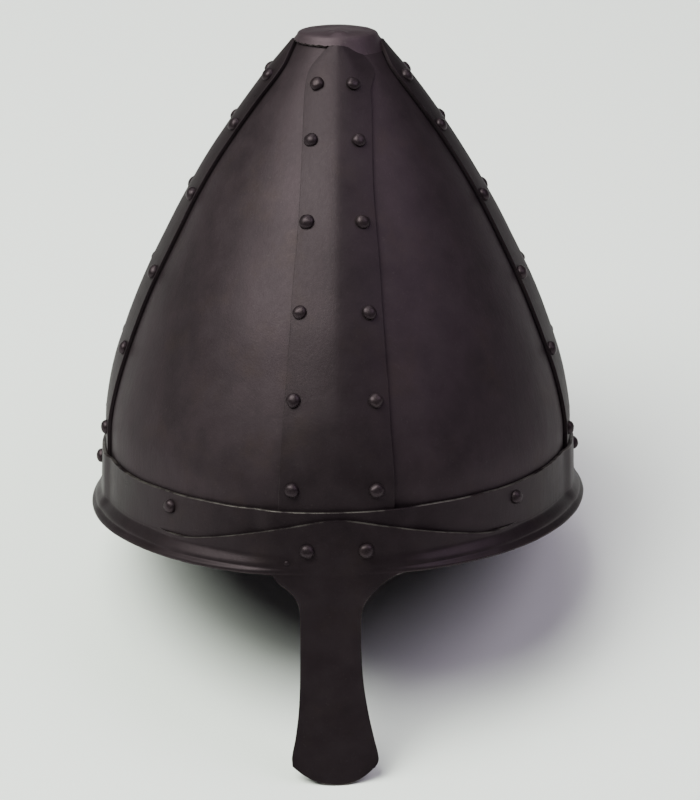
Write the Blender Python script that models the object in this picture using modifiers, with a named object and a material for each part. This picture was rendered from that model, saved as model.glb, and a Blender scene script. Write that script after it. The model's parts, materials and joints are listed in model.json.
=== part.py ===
"""Conical iron helmet with a nose guard, of bands riveted over infill plates.

Units are metres. The front faces -Y and the wearer's left is +X. The helmet is drawn upright on its rim, and
its parent empty then leans it back until it rests on the nose guard's tip and the back of the rim.
"""

import collections
import math

import bmesh
import bpy
from mathutils import Euler, Matrix, Vector

# Overall sizes of the skull, outside its infill plates.
BROW_WIDTH = 0.2032
BROW_LENGTH = 0.2316
SKULL_HEIGHT = 0.2030

# Sheet iron and the clearance between pieces that are riveted together.
SHEET = 0.0016
GAP = 0.0003

# Crown cap.
CROWN_RISE = 0.0030
CROWN_SKIRT = 0.0016

# Bands.
BAND_WIDTH = 0.0480
BAND_KEEL = 0.0022
PLATE_LAP = 0.0090
PLATE_SEAM = 0.0010

# Brow band, how far it and the rim rise towards the wearer's left, and how it steps in between the bands.
BROW_BAND_HEIGHT = 0.0184
BROW_SLANT = 0.018
STEP_MARGIN = 0.0030
STEP_LENGTH = 0.0100

# Flared rim with its front wings.
RIM_HEIGHT = 0.0075
RIM_FLARE = 0.0032
WING_RISE = 0.0155
WING_SPREAD = math.radians(45)
WING_BLEND = math.radians(15)
FLARE_START = math.radians(4)
FLARE_FULL = math.radians(22)

# Nose guard.
NASAL_DROP = 0.0900
NASAL_WIDTH = 0.0360
NASAL_TIP_BOW = 0.0075
NASAL_LEAN = math.radians(3)

# Rivets.
RIVET_RADIUS = 0.0031
RIVET_HEAD = 0.0024
BROW_RIVET_DROP = 0.0062
NASAL_RIVET_SPACING = 0.0230
NASAL_RIVET_HEIGHT = 0.0100

RING_COLUMNS = 72
NASAL_COLUMNS = 6
PLATE_COLUMNS = 8
BAND_COLUMNS = 4
CROWN_COLUMNS = 24
RIVET_SIDES = 10

# Search for the pose at rest.
ROLL_STEP = math.radians(0.25)
ROLL_STEPS = 20
LEAN_ROUNDS = 5

SkullRow = collections.namedtuple("SkullRow", "up half_width half_length")
BandRow = collections.namedtuple("BandRow", "up half_width keel")
FlareRow = collections.namedtuple("FlareRow", "down out")
NasalRow = collections.namedtuple("NasalRow", "down right left")
CrownRow = collections.namedtuple("CrownRow", "rise radius")
RivetRow = collections.namedtuple("RivetRow", "height radius")
WingRow = collections.namedtuple("WingRow", "beside rise")
PairRow = collections.namedtuple("PairRow", "up more_inset more_rear")
Insets = collections.namedtuple("Insets", "before after")

# Sections of the skull: shares of its height and of its half width and half length at the brow.
SKULL_ROWS = (
    SkullRow(0.00, 1.000, 1.000),
    SkullRow(0.13, 0.992, 0.992),
    SkullRow(0.20, 0.984, 0.984),
    SkullRow(0.29, 0.942, 0.942),
    SkullRow(0.38, 0.879, 0.879),
    SkullRow(0.47, 0.807, 0.807),
    SkullRow(0.56, 0.722, 0.717),
    SkullRow(0.65, 0.630, 0.619),
    SkullRow(0.74, 0.528, 0.514),
    SkullRow(0.83, 0.413, 0.395),
    SkullRow(0.92, 0.286, 0.266),
    SkullRow(1.00, 0.161, 0.145),
)

# Sections of a band: shares of the skull's height, of the band's half width and of its keel.
BAND_ROWS = (
    BandRow(0.00, 1.00, 0.00),
    BandRow(0.13, 0.98, 0.00),
    BandRow(0.21, 0.95, 0.35),
    BandRow(0.30, 0.90, 0.75),
    BandRow(0.43, 0.82, 1.00),
    BandRow(0.57, 0.73, 1.00),
    BandRow(0.71, 0.63, 0.90),
    BandRow(0.82, 0.59, 0.75),
    BandRow(0.91, 0.56, 0.60),
    BandRow(0.945, 0.49, 0.50),
    BandRow(0.965, 0.37, 0.40),
    BandRow(1.00, 0.08, 0.30),
)

# Heights, as shares of the skull's, where plates and bands share their cross lines.
SHARED_LEVELS = (0.13, 0.21, 0.30, 0.385, 0.47, 0.555, 0.64, 0.725, 0.81, 0.88, 0.935, 0.96)

# Flared section under the crease: shares of the rim's height and of its flare.
FLARE_ROWS = (
    FlareRow(0.00, 0.00),
    FlareRow(0.32, 0.27),
    FlareRow(0.58, 0.58),
    FlareRow(0.80, 0.86),
    FlareRow(1.00, 1.00),
)
RIM_LEVELS = (0.0, 0.20, 0.42, 0.68)
WING_STEPS = 3

# Upper edge of the front wings: shares of their spread from the front line, and of their rise.
WING_ROWS = (
    WingRow(0.00, 1.00),
    WingRow(0.10, 0.95),
    WingRow(0.24, 0.79),
    WingRow(0.45, 0.54),
    WingRow(0.62, 0.33),
    WingRow(0.80, 0.13),
    WingRow(1.00, 0.00),
)

# Outline of the nose guard: shares of its drop, and half widths either side of the front line as shares of
# half its width. It leans a little to the wearer's right.
NASAL_ROWS = (
    NasalRow(0.035, 1.36, 1.13),
    NasalRow(0.070, 1.15, 0.90),
    NasalRow(0.110, 0.96, 0.72),
    NasalRow(0.160, 0.86, 0.60),
    NasalRow(0.235, 0.84, 0.56),
    NasalRow(0.470, 0.84, 0.60),
    NasalRow(0.640, 0.87, 0.72),
    NasalRow(0.780, 0.95, 0.87),
    NasalRow(0.870, 1.03, 0.97),
    NasalRow(1.000, 1.02, 0.88),
)

# Crown above its skirt: shares of its rise and of its radius.
CROWN_ROWS = (
    CrownRow(0.00, 1.00),
    CrownRow(0.45, 0.96),
    CrownRow(0.70, 0.86),
    CrownRow(0.88, 0.50),
    CrownRow(1.00, 0.00),
)

# Domed rivet head: shares of its height and radius.
RIVET_ROWS = (
    RivetRow(0.00, 1.00),
    RivetRow(0.45, 0.90),
    RivetRow(0.88, 0.52),
    RivetRow(1.00, 0.00),
)

# A band's pairs of rivets: share of the skull's height, and how much further in from the edge the pair sits,
# and the rear rivet of the pair on a side band.
PAIR_ROWS = (
    PairRow(0.170, 0.0016, 0.0016),
    PairRow(0.342, 0.0, 0.0),
    PairRow(0.505, 0.0, 0.0),
    PairRow(0.670, 0.0, -0.0004),
    PairRow(0.818, 0.0, -0.0010),
    PairRow(0.921, 0.0014, -0.0012),
)

# How far each band's rivets sit in from its two edges, taken in the order of the azimuth.
RIVET_INSETS = {
    "front": Insets(0.0036, 0.0056),
    "left": Insets(0.0036, 0.0045),
    "back": Insets(0.0045, 0.0045),
    "right": Insets(0.0045, 0.0038),
}
BROW_RIVET_AZIMUTHS = (47, 91, 137, 172, -172, -137, -87, -43)

BAND_AZIMUTHS = {"front": 0.0, "left": math.pi / 2, "back": math.pi, "right": -math.pi / 2}
PLATE_CORNERS = {
    "front_left": ("front", "left"),
    "back_left": ("left", "back"),
    "back_right": ("back", "right"),
    "front_right": ("right", "front"),
}

CREASE = RIM_HEIGHT
BROW_FOOT = CREASE + GAP
BROW_TOP = BROW_FOOT + BROW_BAND_HEIGHT
LAYER = SHEET + GAP
BAND_OUT = LAYER
CROWN_FOOT = SKULL_HEIGHT - CROWN_SKIRT


def along(rows, place, column):
    """The column's value on a smooth curve through the rows, at a place in their first column."""
    places = [row[0] for row in rows]
    values = [getattr(row, column) for row in rows]
    place = min(max(place, places[0]), places[-1])
    last = len(rows) - 1
    low = max(index for index in range(last) if places[index] <= place)

    def slope(index):
        before, after = max(index - 1, 0), min(index + 1, last)
        return (values[after] - values[before]) / (places[after] - places[before])

    span = places[low + 1] - places[low]
    share = (place - places[low]) / span
    rest = 1 - share
    ends = values[low] * (1 + 2 * share) * rest**2 + values[low + 1] * (3 - 2 * share) * share**2
    bends = slope(low) * share * rest**2 - slope(low + 1) * rest * share**2
    return ends + bends * span


def ease(value):
    """A smooth step from 0 to 1 while the value goes from 0 to 1."""
    value = min(max(value, 0.0), 1.0)
    return value * value * (3 - 2 * value)


def half_sizes(height):
    """Half the skull's width and half its length at a height."""
    up = height / SKULL_HEIGHT
    half_width = along(SKULL_ROWS, up, "half_width") * BROW_WIDTH / 2
    half_length = along(SKULL_ROWS, up, "half_length") * BROW_LENGTH / 2
    return half_width, half_length


def wall(azimuth, height):
    half_width, half_length = half_sizes(height)
    return Vector((half_width * math.sin(azimuth), -half_length * math.cos(azimuth), height))


def skull(azimuth, height, out):
    """A point that stands out from the infill plates' surface along its normal."""
    turn, climb = 0.01, 0.0005
    across = wall(azimuth + turn, height) - wall(azimuth - turn, height)
    upward = wall(azimuth, min(height + climb, SKULL_HEIGHT)) - wall(azimuth, height - climb)
    return wall(azimuth, height) + across.cross(upward).normalized() * out


def swing(distance, azimuth, height):
    """The turn about the axis that moves a point of the skull sideways by a distance."""
    half_width, half_length = half_sizes(height)
    reach = math.hypot(half_width * math.cos(azimuth), half_length * math.sin(azimuth))
    return math.asin(min(max(distance / reach, -1.0), 1.0))


def band_half_width(height):
    return along(BAND_ROWS, height / SKULL_HEIGHT, "half_width") * BAND_WIDTH / 2


def band_point(centre, side, height, out):
    """A point over a band: side runs from -1 to 1 across it, out is counted from its outer face."""
    half = band_half_width(height)
    keel = along(BAND_ROWS, height / SKULL_HEIGHT, "keel") * BAND_KEEL * (1 - abs(side))
    return skull(centre + swing(side * half, centre, height), height, BAND_OUT + keel + out)


def brow_out(azimuth):
    """How far the brow band's outer face stands out from the plates: more where it passes over a band."""
    nearest = min(BAND_AZIMUTHS.values(), key=lambda centre: -math.cos(azimuth - centre))
    half_width, half_length = half_sizes(BROW_FOOT)
    reach = math.hypot(half_width * math.cos(nearest), half_length * math.sin(nearest))
    beside = reach * abs(math.sin(azimuth - nearest)) - BAND_WIDTH / 2 - STEP_MARGIN
    return LAYER * (2 - ease(beside / STEP_LENGTH))


def brow_lift(azimuth):
    """How much higher the slanted brow lies at an azimuth."""
    return BROW_SLANT * math.sin(azimuth) * BROW_WIDTH / 2


def wing_top(azimuth):
    """Height of the rim's upper edge, which rises to a low arch at the front."""
    return CREASE + WING_RISE * along(WING_ROWS, abs(azimuth) / WING_SPREAD, "rise")


def rim_out(azimuth, height):
    """How far the rim's outer face stands out: over the brow band at the front, flush with it elsewhere."""
    over = LAYER * (1 - ease((abs(azimuth) - WING_SPREAD) / WING_BLEND))
    root = brow_out(azimuth) + over
    lip = 2 * LAYER + RIM_FLARE
    share = along(FLARE_ROWS, 1 - height / CREASE, "out")
    front = ease((abs(azimuth) - FLARE_START) / (FLARE_FULL - FLARE_START))
    return root + (lip - root) * share * front


def rim_levels(azimuth):
    """Heights of the rim's cross lines, from its lip up."""
    low = [share * CREASE for share in RIM_LEVELS]
    climb = (wing_top(azimuth) - low[-1]) / WING_STEPS
    return low + [low[-1] + climb * (step + 1) for step in range(WING_STEPS)]


def nasal_point(across, root, row):
    """A point of the nose guard: across runs from -1 to 1, root is the rim's point that it hangs from."""
    down = row.down * NASAL_DROP
    side = row.left if across > 0 else row.right
    x = across * side * NASAL_WIDTH / 2
    half_width, half_length = half_sizes(0.0)
    bow = half_length * (1 - math.sqrt(1 - (x / half_width) ** 2))
    front = skull(0.0, 0.0, rim_out(0.0, 0.0)).y
    y = front + bow - down * math.tan(NASAL_LEAN)
    blend = ease(row.down / NASAL_ROWS[4].down)
    root_bow = half_length * (1 - math.sqrt(1 - (root.x / half_width) ** 2))
    y += (root.y - front - root_bow) * (1 - blend)
    z = -down
    if row is NASAL_ROWS[-1]:
        z += NASAL_TIP_BOW * abs(across) ** 2.2
    return Vector((x, y, z))


def iron(name, shade, roughness):
    """Blackened iron."""
    material = bpy.data.materials.new(name)
    material.use_nodes = True
    shader = material.node_tree.nodes["Principled BSDF"]
    shader.inputs["Base Color"].default_value = (shade, shade * 0.93, shade * 0.95, 1)
    shader.inputs["Roughness"].default_value = roughness
    shader.inputs["Metallic"].default_value = 0.7
    material.diffuse_color = shader.inputs["Base Color"].default_value
    return material


def add_object(name, mesh, material, parts, parent):
    mesh.materials.append(material)
    mesh.shade_smooth()
    mesh.set_sharp_from_angle(angle=math.radians(40))
    obj = bpy.data.objects.new(name, mesh)
    parts.objects.link(obj)
    obj.parent = parent
    return obj


def bent_grid(columns, rows, place, closed=False):
    """A grid whose columns and rows are counted from 0 and moved to where place(column, row) says."""
    bm = bmesh.new()
    bmesh.ops.create_grid(bm, x_segments=columns, y_segments=rows, size=0.5)
    for vertex in bm.verts:
        column = round((vertex.co.x + 0.5) * columns)
        row = round((vertex.co.y + 0.5) * rows)
        vertex.co = place(column, row)
    if closed:
        bmesh.ops.remove_doubles(bm, verts=bm.verts, dist=1e-6)
    return bm


def finish_sheet(name, bm, shade, parts, parent):
    """Gives an outer face the sheet's thickness, inwards."""
    mesh = bpy.data.meshes.new(name)
    bm.to_mesh(mesh)
    bm.free()
    obj = add_object(name, mesh, iron(name, shade, 0.5), parts, parent)
    solidify = obj.modifiers.new("sheet", "SOLIDIFY")
    solidify.thickness = SHEET
    solidify.offset = -1
    solidify.use_even_offset = True
    return obj


def make_plate(name, start, end, parts, parent):
    levels = [GAP + CREASE] + [up * SKULL_HEIGHT for up in SHARED_LEVELS] + [SKULL_HEIGHT - SHEET]

    def place(column, row):
        height = levels[row]
        inset = max(band_half_width(height) - PLATE_LAP, PLATE_SEAM / 2)
        first = start + swing(inset, start, height)
        last = end - swing(inset, end, height)
        azimuth = first + (last - first) * column / PLATE_COLUMNS
        return skull(azimuth, height + (brow_lift(azimuth) if row == 0 else 0), 0)

    bm = bent_grid(PLATE_COLUMNS, len(levels) - 1, place)
    return finish_sheet(name, bm, 0.075, parts, parent)


def make_band(name, centre, parts, parent):
    levels = [GAP + CREASE] + [up * SKULL_HEIGHT for up in SHARED_LEVELS] + [CROWN_FOOT - GAP]

    def place(column, row):
        height = levels[row] + (brow_lift(centre) if row == 0 else 0)
        return band_point(centre, 2 * column / BAND_COLUMNS - 1, height, 0)

    bm = bent_grid(BAND_COLUMNS, len(levels) - 1, place)
    return finish_sheet(name, bm, 0.070, parts, parent)


def make_brow_band(parts, parent):
    heights = (BROW_FOOT, BROW_TOP)

    def place(column, row):
        azimuth = 2 * math.pi * column / RING_COLUMNS - math.pi
        return skull(azimuth, heights[row] + brow_lift(azimuth), brow_out(azimuth))

    bm = bent_grid(RING_COLUMNS, 1, place, closed=True)
    return finish_sheet("brow_band", bm, 0.065, parts, parent)


def make_nasal_rim(parts, parent):
    """The flared rim as a ring, and the nose guard drawn down from the front of its lip."""

    def place(column, row):
        azimuth = 2 * math.pi * column / RING_COLUMNS - math.pi
        height = rim_levels(azimuth)[row]
        return skull(azimuth, height + brow_lift(azimuth), rim_out(azimuth, height))

    bm = bent_grid(RING_COLUMNS, len(RIM_LEVELS) + WING_STEPS - 1, place, closed=True)
    step = 2 * math.pi / RING_COLUMNS
    reach = step * NASAL_COLUMNS / 2
    edges = []
    for edge in bm.edges:
        middle = (edge.verts[0].co + edge.verts[1].co) / 2
        azimuth = math.atan2(middle.x / BROW_WIDTH, -middle.y / BROW_LENGTH)
        if edge.is_boundary and middle.z < CREASE / 2 and abs(azimuth) < reach:
            edges.append(edge)
    roots = sorted({vertex for edge in edges for vertex in edge.verts}, key=lambda vertex: vertex.co.x)
    line = [(vertex, vertex.co.copy(), 2 * index / NASAL_COLUMNS - 1) for index, vertex in enumerate(roots)]
    for row in NASAL_ROWS:
        made = bmesh.ops.extrude_edge_only(bm, edges=edges)["geom"]
        edges = [item for item in made if isinstance(item, bmesh.types.BMEdge)]
        fresh = sorted({vertex for edge in edges for vertex in edge.verts}, key=lambda vertex: vertex.co.x)
        line = [(vertex, root, across) for vertex, (_, root, across) in zip(fresh, line)]
        for vertex, root, across in line:
            vertex.co = nasal_point(across, root, row)
    return finish_sheet("nasal_rim", bm, 0.055, parts, parent)


def make_crown(parts, parent):
    shoulder = skull(0.0, SKULL_HEIGHT, BAND_OUT).z

    def place(column, row):
        azimuth = 2 * math.pi * column / CROWN_COLUMNS - math.pi
        if row == 0:
            return skull(azimuth, CROWN_FOOT, BAND_OUT)
        shape = CROWN_ROWS[row - 1]
        point = skull(azimuth, SKULL_HEIGHT, BAND_OUT) * shape.radius
        return Vector((point.x, point.y, shoulder + shape.rise * CROWN_RISE))

    bm = bent_grid(CROWN_COLUMNS, len(CROWN_ROWS), place, closed=True)
    return finish_sheet("crown", bm, 0.075, parts, parent)


def rivet_mesh(sink):
    """A low dome on its base, spun from a half section. The base lies at -sink."""
    bm = bmesh.new()
    section = [bm.verts.new((row.radius * RIVET_RADIUS, 0, row.height * RIVET_HEAD)) for row in RIVET_ROWS]
    if sink:
        section.insert(0, bm.verts.new((RIVET_RADIUS, 0, -sink)))
    edges = [bm.edges.new(pair) for pair in zip(section, section[1:])]
    bmesh.ops.spin(bm, geom=section + edges, axis=(0, 0, 1), cent=(0, 0, 0), angle=2 * math.pi,
                   steps=RIVET_SIDES, use_merge=True)
    bmesh.ops.remove_doubles(bm, verts=bm.verts, dist=1e-6)
    bmesh.ops.holes_fill(bm, edges=[edge for edge in bm.edges if edge.is_boundary], sides=RIVET_SIDES)
    bmesh.ops.recalc_face_normals(bm, faces=bm.faces)
    mesh = bpy.data.meshes.new("rivet")
    bm.to_mesh(mesh)
    bm.free()
    return mesh


def seat(place, side, height):
    """A matrix that stands something on a surface: place(side, height, out) gives the surface's points."""
    point = place(side, height, 0.0)
    turn, climb = 0.01, 0.0004
    across = place(side + turn, height, 0.0) - place(side - turn, height, 0.0)
    upward = place(side, height + climb, 0.0) - place(side, height - climb, 0.0)
    normal = across.cross(upward).normalized()
    return Matrix.Translation(point + normal * GAP) @ normal.to_track_quat("Z", "Y").to_matrix().to_4x4()


def add_rivets(name, seats, mesh, material, parts, parent):
    for number, matrix in enumerate(seats, 1):
        rivet = bpy.data.objects.new(f"{name}_rivet_{number:02d}", mesh)
        if not mesh.materials:
            mesh.materials.append(material)
        parts.objects.link(rivet)
        rivet.parent = parent
        rivet.matrix_local = matrix


def band_seats(name):
    seats = []
    for row in PAIR_ROWS:
        height = row.up * SKULL_HEIGHT
        for sign, inset in zip((-1, 1), RIVET_INSETS[name]):
            rear = sign * math.sin(BAND_AZIMUTHS[name]) > 0.5
            inset += row.more_rear if rear else row.more_inset
            side = sign * (1 - inset / band_half_width(height))
            seats.append(seat(lambda s, h, out: band_point(BAND_AZIMUTHS[name], s, h, out), side, height))
    return seats


def brow_seats():
    def place(azimuth, height, out):
        return skull(azimuth, height + brow_lift(azimuth), brow_out(azimuth) + out)

    return [seat(place, math.radians(degrees), BROW_TOP - BROW_RIVET_DROP) for degrees in BROW_RIVET_AZIMUTHS]


def nasal_seats():
    def place(azimuth, height, out):
        return skull(azimuth, height + brow_lift(azimuth), rim_out(azimuth, height) + out)

    turn = swing(NASAL_RIVET_SPACING / 2, 0.0, NASAL_RIVET_HEIGHT)
    return [seat(place, sign * turn, NASAL_RIVET_HEIGHT) for sign in (-1, 1)]


def fuse_rivets(band, seats, cutters):
    """The back band's rivets become one body with it."""
    overlap = 0.0006
    bm = bmesh.new()
    mesh = rivet_mesh(overlap + GAP)
    for matrix in seats:
        start = len(bm.verts)
        bm.from_mesh(mesh)
        bm.verts.ensure_lookup_table()
        bmesh.ops.transform(bm, matrix=matrix, verts=bm.verts[start:])
    heads_mesh = bpy.data.meshes.new("back_band_heads")
    bm.to_mesh(heads_mesh)
    bm.free()
    heads = bpy.data.objects.new("back_band_heads", heads_mesh)
    cutters.objects.link(heads)
    heads.parent = band.parent
    heads.hide_render = True
    heads.display_type = "WIRE"
    union = band.modifiers.new("rivets", "BOOLEAN")
    union.operation = "UNION"
    union.object = heads


def solid_of(obj):
    """An object's mesh with its modifiers, in a bmesh and in the helmet's own upright frame."""
    solid = bmesh.new()
    solid.from_object(obj, bpy.context.evaluated_depsgraph_get())
    solid.transform(obj.matrix_local)
    return solid


def centre_of_mass(parts):
    """Every piece is iron, so each triangle's tetrahedron with the origin counts by its volume."""
    moment, volume = Vector(), 0.0
    for obj in parts.objects:
        if obj.type != "MESH":
            continue
        solid = solid_of(obj)
        for loops in solid.calc_loop_triangles():
            first, second, third = (loop.vert.co for loop in loops)
            share = first.dot(second.cross(third)) / 6
            moment += (first + second + third) / 4 * share
            volume += share
        solid.free()
    return moment / volume


def settle(helmet, resting, parts):
    """Leans the helmet back until the nose guard's tip and the back of the rim both touch the ground, at the
    sideways roll that lets its centre of mass lie lowest."""
    bpy.context.view_layer.update()
    centre = centre_of_mass(parts)
    solid = solid_of(resting)
    points = [vertex.co.copy() for vertex in solid.verts]
    solid.free()
    rests = []
    for step in range(-ROLL_STEPS, ROLL_STEPS + 1):
        roll, lean = step * ROLL_STEP, 0.0
        for _ in range(LEAN_ROUNDS):
            turn = Euler((-lean, roll, 0)).to_matrix()
            turned = [turn @ point for point in points]
            front = min((point for point in turned if point.y < 0), key=lambda point: point.z)
            back = min((point for point in turned if point.y > 0), key=lambda point: point.z)
            lean += math.atan2(back.z - front.z, back.y - front.y)
        turn = Euler((-lean, roll, 0)).to_matrix()
        height = (turn @ centre).z - min((turn @ point).z for point in points)
        rests.append((height, lean, roll))
    height, lean, roll = min(rests)
    helmet.rotation_euler = (-lean, roll, 0)
    bpy.context.view_layer.update()


def stand_at_origin(helmet, parts):
    """Moves the helmet so that the middle of its footprint box is at the origin and its lowest point at zero."""
    graph = bpy.context.evaluated_depsgraph_get()
    corners = []
    for obj in parts.objects:
        if obj.type == "MESH":
            solid = obj.evaluated_get(graph)
            corners += [obj.matrix_world @ vertex.co for vertex in solid.data.vertices]
    low = Vector(map(min, zip(*corners)))
    high = Vector(map(max, zip(*corners)))
    helmet.location = (-(low.x + high.x) / 2, -(low.y + high.y) / 2, -low.z)


def main():
    for obj in list(bpy.data.objects):
        bpy.data.objects.remove(obj, do_unlink=True)
    parts = bpy.data.collections.new("iron_helmet")
    cutters = bpy.data.collections.new("joined_shapes")
    for collection in (parts, cutters):
        bpy.context.scene.collection.children.link(collection)
    helmet = bpy.data.objects.new("helmet_axis", None)
    parts.objects.link(helmet)

    for name, (first, second) in PLATE_CORNERS.items():
        start = BAND_AZIMUTHS[first]
        end = BAND_AZIMUTHS[second]
        if end < start:
            end += 2 * math.pi
        make_plate(f"plate_{name}", start, end, parts, helmet)
    rivet = rivet_mesh(0)
    rivet.shade_smooth()
    rivet_iron = iron("rivet", 0.08, 0.4)
    for name, centre in BAND_AZIMUTHS.items():
        band = make_band(f"{name}_band", centre, parts, helmet)
        if name == "back":
            fuse_rivets(band, band_seats(name), cutters)
        else:
            add_rivets(f"{name}_band", band_seats(name), rivet, rivet_iron, parts, helmet)
    make_brow_band(parts, helmet)
    resting = make_nasal_rim(parts, helmet)
    make_crown(parts, helmet)
    add_rivets("brow", brow_seats(), rivet, rivet_iron, parts, helmet)
    add_rivets("nasal", nasal_seats(), rivet, rivet_iron, parts, helmet)
    settle(helmet, resting, parts)
    stand_at_origin(helmet, parts)


main()
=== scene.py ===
"""Looks of a conical iron helmet: hammered sheets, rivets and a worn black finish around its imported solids.

Lengths are in metres. Shapes are drawn on the upright helmet and then moved to the pose in which it rests.
"""

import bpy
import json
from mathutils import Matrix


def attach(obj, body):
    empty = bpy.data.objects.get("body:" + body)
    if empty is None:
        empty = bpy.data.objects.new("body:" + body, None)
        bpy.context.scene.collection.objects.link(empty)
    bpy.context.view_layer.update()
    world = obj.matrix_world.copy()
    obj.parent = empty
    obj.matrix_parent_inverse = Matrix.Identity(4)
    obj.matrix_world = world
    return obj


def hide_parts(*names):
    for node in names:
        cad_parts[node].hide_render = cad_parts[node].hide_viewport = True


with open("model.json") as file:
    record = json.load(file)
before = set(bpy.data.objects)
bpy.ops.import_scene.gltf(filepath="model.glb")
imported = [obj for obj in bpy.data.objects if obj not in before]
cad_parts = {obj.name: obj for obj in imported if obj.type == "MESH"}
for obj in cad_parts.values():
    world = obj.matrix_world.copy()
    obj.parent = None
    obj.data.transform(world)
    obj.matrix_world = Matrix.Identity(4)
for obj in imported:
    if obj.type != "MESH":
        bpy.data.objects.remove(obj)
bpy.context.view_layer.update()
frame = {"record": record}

import collections
import functools
import json
import math

import bmesh
import bpy
from bpy.props import FloatProperty, FloatVectorProperty, IntProperty, PointerProperty
from mathutils import Euler, Matrix, Vector, noise

bl_info = {
    "name": "Riveted Iron Helmet",
    "version": (1, 0, 0),
    "blender": (4, 5, 0),
    "location": "3D View > Sidebar > Helmet",
    "description": "Builds the sheets, rivets, finish and studio of a conical iron helmet",
    "category": "Object",
}

# Overall sizes of the solids, which the looks keep.
BROW_WIDTH = 0.2032
BROW_LENGTH = 0.2316
SKULL_HEIGHT = 0.2030
SHEET = 0.0016
LAYER = 0.0019
CROWN_RISE = 0.0030
CROWN_SKIRT = 0.0016
BAND_WIDTH = 0.0480
BAND_KEEL = 0.0022
PLATE_LAP = 0.0090
PLATE_SEAM = 0.0010
BROW_BAND_HEIGHT = 0.0184
BROW_SLANT = 0.018
BROW_PLANE = 0.0225
STEP_MARGIN = 0.0008
STEP_LENGTH = 0.0095
RIM_STEP_LENGTH = 0.0300
CREASE = 0.0075
RIM_FLARE = 0.0033
WING_RISE = 0.0155
WING_SPREAD = math.radians(45)
FLARE_START = math.radians(4)
FLARE_FULL = math.radians(22)
NASAL_DROP = 0.0900
NASAL_WIDTH = 0.0360
NASAL_TIP_BOW = 0.0075
NASAL_LEAN = math.radians(3)
NASAL_REACH = math.radians(15)
RIVET_RADIUS = 0.0031
RIVET_HEAD = 0.0024
BROW_RIVET_DROP = 0.0062
NASAL_RIVET_SPACING = 0.0230
NASAL_RIVET_HEIGHT = 0.0100

# What only the looks have: sheets that press on each other, and wings that sink into the brow band.
PRESSED = 0.00006
WING_FADE = math.radians(38)
WING_BLEND = math.radians(12)
RIM_TUCK = 0.0016
TUCK_START = 0.0006
TUCK_DEPTH = 0.0003
RIDGE_ROUND = 0.10
GROUND_DROP = 0.0042
GROUND_DEPTH = 0.0004
FLUSH_START = 0.184
FLUSH_LENGTH = 0.010
FLUSH_SPREAD = 0.0045
JAG_DEPTH = 0.00055
KNOB_HEIGHT = 0.0008
KNOB_RADIUS = 0.0040
WAVE_BROAD = 0.042
WAVE_FINE = 0.011
WAVER_LENGTH = 0.021
# Painted shade and dirt beside the bands' edges: how wide it is, how far out rows gather for it, and how
# strong it is above the brow band.
SEAM_WIDTH = 0.0009
SEAM_REACH = 0.0018
BROW_SHADE_AND_DIRT = 0.35
DOME_STEPS = 22
DOME_SUNK = 0.0005
DOME_UNEVEN = 0.10
DOME_SWELL = 0.00022
INSIDE_RADIUS = 0.86
INSIDE_HEIGHT = 0.42
BROW_FOOT = CREASE + PRESSED
BROW_TOP = CREASE + LAYER - SHEET + BROW_BAND_HEIGHT

# Faces across and along each kind of sheet.
PLATE_FACES = (96, 130)
BAND_FACES = (26, 160)
BROW_ROWS = 12
CROWN_FACES = (144, 40)
CROWN_SKIRT_ROWS = 8
RIM_LOW_ROWS = 18
RIM_HIGH_ROWS = 10
NASAL_GUARD_ROWS = 64

# Studio: the lights' distance and width, and half the floor's width.
LIGHT_DISTANCE = 2.0
LIGHT_WIDTH = 1.4
FLOOR_HALF = 6.0
WARM = (1.0, 1.10, 0.96)
PLAIN = (1.0, 1.0, 1.0)
COOL = (1.0, 0.91, 1.09)

SkullRow = collections.namedtuple("SkullRow", "up half_width half_length")
BandRow = collections.namedtuple("BandRow", "up half_width keel")
FlareRow = collections.namedtuple("FlareRow", "down out")
NasalRow = collections.namedtuple("NasalRow", "down right left")
WingRow = collections.namedtuple("WingRow", "beside rise")
CrownRow = collections.namedtuple("CrownRow", "radius rise")
RivetRow = collections.namedtuple("RivetRow", "height radius")
PairRow = collections.namedtuple("PairRow", "up more_inset more_rear")
Insets = collections.namedtuple("Insets", "before after")
BeadRow = collections.namedtuple("BeadRow", "surface azimuth height size")

# Sections of the skull: shares of its height and of its half width and half length at the brow.
SKULL_ROWS = (
    SkullRow(0.00, 1.000, 1.000),
    SkullRow(0.13, 0.992, 0.992),
    SkullRow(0.20, 0.984, 0.984),
    SkullRow(0.29, 0.942, 0.942),
    SkullRow(0.38, 0.879, 0.879),
    SkullRow(0.47, 0.807, 0.807),
    SkullRow(0.56, 0.722, 0.717),
    SkullRow(0.65, 0.630, 0.619),
    SkullRow(0.74, 0.528, 0.514),
    SkullRow(0.83, 0.413, 0.395),
    SkullRow(0.92, 0.286, 0.266),
    SkullRow(1.00, 0.161, 0.145),
)

# Sections of a band: shares of the skull's height, of the band's half width and of its keel.
BAND_ROWS = (
    BandRow(0.00, 1.00, 0.00),
    BandRow(0.13, 0.98, 0.00),
    BandRow(0.21, 0.95, 0.35),
    BandRow(0.30, 0.90, 0.75),
    BandRow(0.43, 0.82, 1.00),
    BandRow(0.57, 0.73, 1.00),
    BandRow(0.71, 0.63, 0.90),
    BandRow(0.82, 0.59, 0.75),
    BandRow(0.91, 0.56, 0.60),
    BandRow(0.945, 0.49, 0.50),
    BandRow(0.965, 0.37, 0.40),
    BandRow(1.00, 0.08, 0.30),
)

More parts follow.
